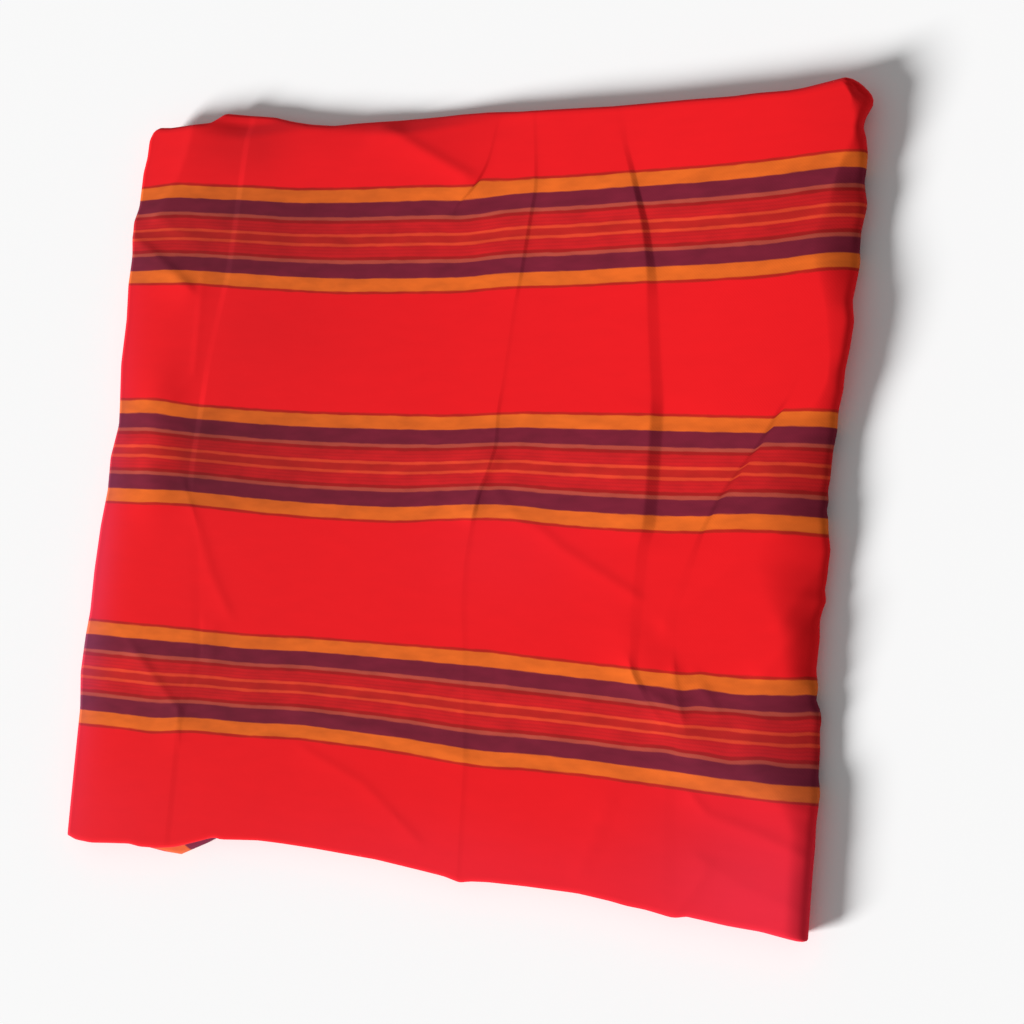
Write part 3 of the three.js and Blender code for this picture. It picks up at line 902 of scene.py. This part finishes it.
def noise_over_cloth(tree, place, cloth, along_scale, across_scale, detail):
    """Noise that is stretched along the threads, as 0 to 1."""
    stretch = node(tree, "ShaderNodeMapping", place)
    stretch.inputs["Scale"].default_value = (along_scale, across_scale, 1)
    tree.links.new(cloth, stretch.inputs["Vector"])
    noise = node(tree, "ShaderNodeTexNoise", (place[0] + 200, place[1]), noise_dimensions="2D")
    noise.inputs["Scale"].default_value = 1
    noise.inputs["Detail"].default_value = detail
    tree.links.new(stretch.outputs[0], noise.inputs["Vector"])
    return noise.outputs[0]


def wandering_threads(tree, cloth, across):
    """Each thread wanders a little, so the sides of the stripes are not ruled lines."""
    wander = noise_over_cloth(tree, (-1700, -300), cloth, along_scale=60, across_scale=400, detail=2)
    drift = math_node(
        tree, "MULTIPLY_ADD", (-1100, -300), wander, THREAD_WANDER * MM, -THREAD_WANDER / 2 * MM)
    return math_node(tree, "ADD", (-950, -150), across, drift)


def stripe_colour(tree, from_middle):
    """The colour of each stripe of a band, by the distance from the band's middle."""
    share = math_node(tree, "DIVIDE", (-500, 0), from_middle, BAND_REACH * MM)
    ramp = node(tree, "ShaderNodeValToRGB", (-350, 0))
    colours = [*STRIPES, [BAND_REACH, GROUND_RED]]
    stops = ramp.color_ramp.elements
    stops[0].position = 0
    stops[0].color = linear(STRIPES[0][1])
    stops[1].position = 1
    stops[1].color = linear(GROUND_RED)
    for (reach, colour), (_, next_colour) in zip(colours, colours[1:]):
        for offset, side in ((-STRIPE_BLEND / 2, colour), (STRIPE_BLEND / 2, next_colour)):
            stop = stops.new((reach + offset) / BAND_REACH)
            stop.color = linear(side)
    tree.links.new(share, ramp.inputs[0])
    return ramp.outputs[0]


def pinstriped(tree, from_middle, colour):
    """Fine pinstripes in the mid red, between the thin orange lines and the dark ones."""
    turns = math_node(tree, "MULTIPLY", (-650, -300), from_middle, 2 * math.pi / (PINSTRIPE_PITCH * MM))
    swing = math_node(tree, "SINE", (-500, -300), turns)
    share = math_node(tree, "MULTIPLY_ADD", (-350, -300), swing, PINSTRIPE_SWING, PINSTRIPE_MEAN)
    in_mid_red = math_node(
        tree, "COMPARE", (-350, -450), from_middle, PINSTRIPE_MIDDLE * MM, PINSTRIPE_REACH * MM)
    share_there = math_node(tree, "MULTIPLY", (-200, -350), share, in_mid_red)
    return mix_colours(tree, (0, 0), share_there, colour, linear(PINSTRIPE_RED))


def dyed_with_painted_light(tree, cloth, from_middle, colour):
    """Uneven dye, in patches a few centimetres long, and painted shade, both fainter in the ground, and
    then painted cool sheen.
    """
    # Painted shade of the stripes and of the ground, and the share of painted sheen
    painted_light = node(tree, "ShaderNodeAttribute", (-900, 700), attribute_name="painted_light")
    stripe_painted_shade, ground_painted_shade, painted_sheen_share = axes_of(tree, (-700, 700), painted_light.outputs["Vector"])
    patches = noise_over_cloth(tree, (-1100, 400), cloth, along_scale=34, across_scale=90, detail=3)
    stripe_dye = math_node(tree, "MULTIPLY_ADD", (-650, 450), patches, STRIPE_DYE[1], STRIPE_DYE[0])
    ground_dye = math_node(tree, "MULTIPLY_ADD", (-650, 300), patches, GROUND_DYE[1], GROUND_DYE[0])
    # The tone takes the random dye and the painted shade together
    stripe_tone = math_node(tree, "MULTIPLY", (-450, 500), stripe_dye, stripe_painted_shade)
    ground_tone = math_node(tree, "MULTIPLY", (-450, 350), ground_dye, ground_painted_shade)
    in_ground = node(tree, "ShaderNodeMapRange", (-450, 200))
    in_ground.inputs["From Min"].default_value = GROUND_STEP[0] * MM
    in_ground.inputs["From Max"].default_value = GROUND_STEP[1] * MM
    tree.links.new(from_middle, in_ground.inputs["Value"])
    tone_gap = math_node(tree, "SUBTRACT", (-250, 450), ground_tone, stripe_tone)
    tone = math_node(tree, "MULTIPLY_ADD", (-100, 400), tone_gap, in_ground.outputs[0], stripe_tone)
    dyed = node(tree, "ShaderNodeVectorMath", (200, 0), operation="SCALE")
    tree.links.new(colour, dyed.inputs[0])
    tree.links.new(tone, dyed.inputs["Scale"])
    # Mixes in the painted cool sheen
    return mix_colours(tree, (450, 0), painted_sheen_share, dyed.outputs[0], PAINTED_SHEEN_PINK)


def plain_weave(tree, along, across):
    """The relief of a plain weave: the threads of both directions pass over each other by turns."""
    along_turns = math_node(tree, "MULTIPLY", (-1050, -700), along, math.pi / (THREAD_PITCH * MM))
    across_turns = math_node(tree, "MULTIPLY", (-1050, -850), across, math.pi / (THREAD_PITCH * MM))
    over = math_node(tree, "SINE", (-900, -700), along_turns)
    under = math_node(tree, "SINE", (-900, -850), across_turns)
    height = math_node(tree, "MULTIPLY", (-700, -750), over, under)
    bump = node(tree, "ShaderNodeBump", (1100, -500))
    bump.inputs["Strength"].default_value = WEAVE_STRENGTH
    bump.inputs["Distance"].default_value = WEAVE_RELIEF * MM
    tree.links.new(height, bump.inputs["Height"])
    return bump.outputs[0]


def striped_woven_cloth():
    material = bpy.data.materials.new("striped_woven_cloth")
    material.use_nodes = True
    tree = material.node_tree
    tree.nodes.clear()
    output = node(tree, "ShaderNodeOutputMaterial", (1700, 0))
    shader = node(tree, "ShaderNodeBsdfPrincipled", (1400, 0))
    tree.links.new(shader.outputs["BSDF"], output.inputs["Surface"])

    cloth = node(tree, "ShaderNodeUVMap", (-1900, 0), uv_map="cloth").outputs["UV"]
    along, across, _ = axes_of(tree, (-1500, 0), cloth)
    across = wandering_threads(tree, cloth, across)
    from_first = math_node(tree, "SUBTRACT", (-800, 0), across, FIRST_BAND_PLACE * MM)
    from_middle = math_node(tree, "PINGPONG", (-650, 0), from_first, BAND_PERIOD / 2 * MM)
    striped = pinstriped(tree, from_middle, stripe_colour(tree, from_middle))
    # The dyed colour with painted shade and sheen
    dyed_and_painted = dyed_with_painted_light(tree, cloth, from_middle, striped)
    tree.links.new(dyed_and_painted, shader.inputs["Base Color"])
    tree.links.new(plain_weave(tree, along, across), shader.inputs["Normal"])
    set_inputs(shader, CLOTH_FINISH)
    return material


# The stage, with sizes in metres

FLOOR_REACH = 6.0
FLOOR_LEVEL = -0.0004
SKY_STRENGTH = 0.27
KEY_STRENGTH = 5.8
KEY_WIDTH = math.radians(18)
KEY_DISTANCE = 3.0
KEY_ELEVATION = math.radians(22)
KEY_AZIMUTH = math.radians(215)

# The camera looks at a point of the face, given in millimetres from the middle of the panel. Its lens
# and sensor are in millimetres, and the nearest and farthest that it sees are in metres.

AIM = (68.87, -17.84, 18.6)
AIM_DISTANCE = 1572.7
CAMERA_ELEVATION = math.radians(65.595)
CAMERA_AZIMUTH = math.radians(-14.67)
CAMERA_ROLL = math.radians(-71.486)
SENSOR_WIDTH = 36
LENS = 64.16
NEAREST_SEEN = 0.05
FARTHEST_SEEN = 50


def direction(elevation, azimuth):
    """The unit vector that points up by one angle and round from +X by the other."""
    return Vector((
        math.cos(elevation) * math.cos(azimuth),
        math.cos(elevation) * math.sin(azimuth),
        math.sin(elevation),
    ))


def pale_floor():
    mesh = bpy.data.meshes.new("floor")
    sides = [(-1, -1), (1, -1), (1, 1), (-1, 1)]
    corners = [(x * FLOOR_REACH, y * FLOOR_REACH, FLOOR_LEVEL) for x, y in sides]
    mesh.from_pydata(corners, [], [(0, 1, 2, 3)])
    floor = bpy.data.objects.new("floor", mesh)
    bpy.context.scene.collection.objects.link(floor)
    material = bpy.data.materials.new("pale_floor")
    material.use_nodes = True
    set_inputs(material.node_tree.nodes["Principled BSDF"], FLOOR_FINISH)
    mesh.materials.append(material)


def studio_light():
    world = bpy.data.worlds.new("studio")
    bpy.context.scene.world = world
    world.use_nodes = True
    background = world.node_tree.nodes["Background"]
    background.inputs["Color"].default_value = (1.0, 1.0, 1.0, 1.0)
    background.inputs["Strength"].default_value = SKY_STRENGTH

    key = bpy.data.lights.new("key", "SUN")
    key.energy = KEY_STRENGTH
    key.angle = KEY_WIDTH
    key_object = bpy.data.objects.new("key", key)
    bpy.context.scene.collection.objects.link(key_object)
    towards_key = direction(KEY_ELEVATION, KEY_AZIMUTH)
    key_object.rotation_euler = towards_key.to_track_quat("Z", "Y").to_euler()
    key_object.location = KEY_DISTANCE * towards_key


def photograph_camera():
    camera = bpy.data.cameras.new("camera")
    camera.sensor_width = SENSOR_WIDTH
    camera.lens = LENS
    camera.clip_start = NEAREST_SEEN
    camera.clip_end = FARTHEST_SEEN
    camera_object = bpy.data.objects.new("camera", camera)
    bpy.context.scene.collection.objects.link(camera_object)
    away = direction(CAMERA_ELEVATION, CAMERA_AZIMUTH)
    turn = away.to_track_quat("Z", "Y").to_matrix() @ Matrix.Rotation(CAMERA_ROLL, 3, "Z")
    camera_object.rotation_euler = turn.to_euler()
    camera_object.location = (Vector(AIM) + Vector(STACK_SHIFT) + AIM_DISTANCE * away) * MM
    bpy.context.scene.camera = camera_object


photograph_camera()
studio_light()
pale_floor()

blanket = folded_blanket()
blanket.data.materials.append(striped_woven_cloth())
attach(blanket, "root")
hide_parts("blanket")

bpy.context.scene.view_settings.view_transform = "Standard"
bpy.context.scene.view_settings.look = "None"
